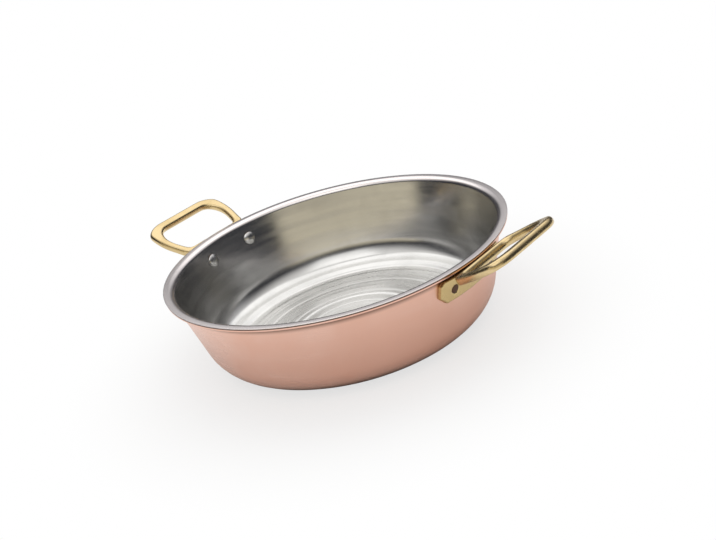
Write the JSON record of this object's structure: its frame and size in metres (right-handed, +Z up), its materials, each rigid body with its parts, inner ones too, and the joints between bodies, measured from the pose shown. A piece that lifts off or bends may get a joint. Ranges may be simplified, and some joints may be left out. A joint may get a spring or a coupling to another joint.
{
  "type": "two-handled serving pan",
  "caption": "Round shallow copper pan with sloping walls, a flared lip, a bright steel lining and two cast brass loop handles riveted on opposite sides.",
  "frame": {"origin": "centre of the base's underside, on the surface that the pan stands on", "axes": "+X through the right handle, +Z up through the open top"},
  "size_m": [0.3082, 0.24, 0.0843],
  "materials": {
    "copper": "satin copper, turned, with fine lines round the wall",
    "lining": "bright steel with fine turned lines",
    "brass": "cast brass, satin polished",
    "rivet": "polished steel rivet heads"
  },
  "bodies": {
    "root": {"copper_shell": "copper", "steel_lining": "lining", "left_handle": "brass", "right_handle": "brass", "left_rivet_front": "rivet", "left_rivet_back": "rivet", "right_rivet_front": "rivet", "right_rivet_back": "rivet"}
  },
  "joints": []
}
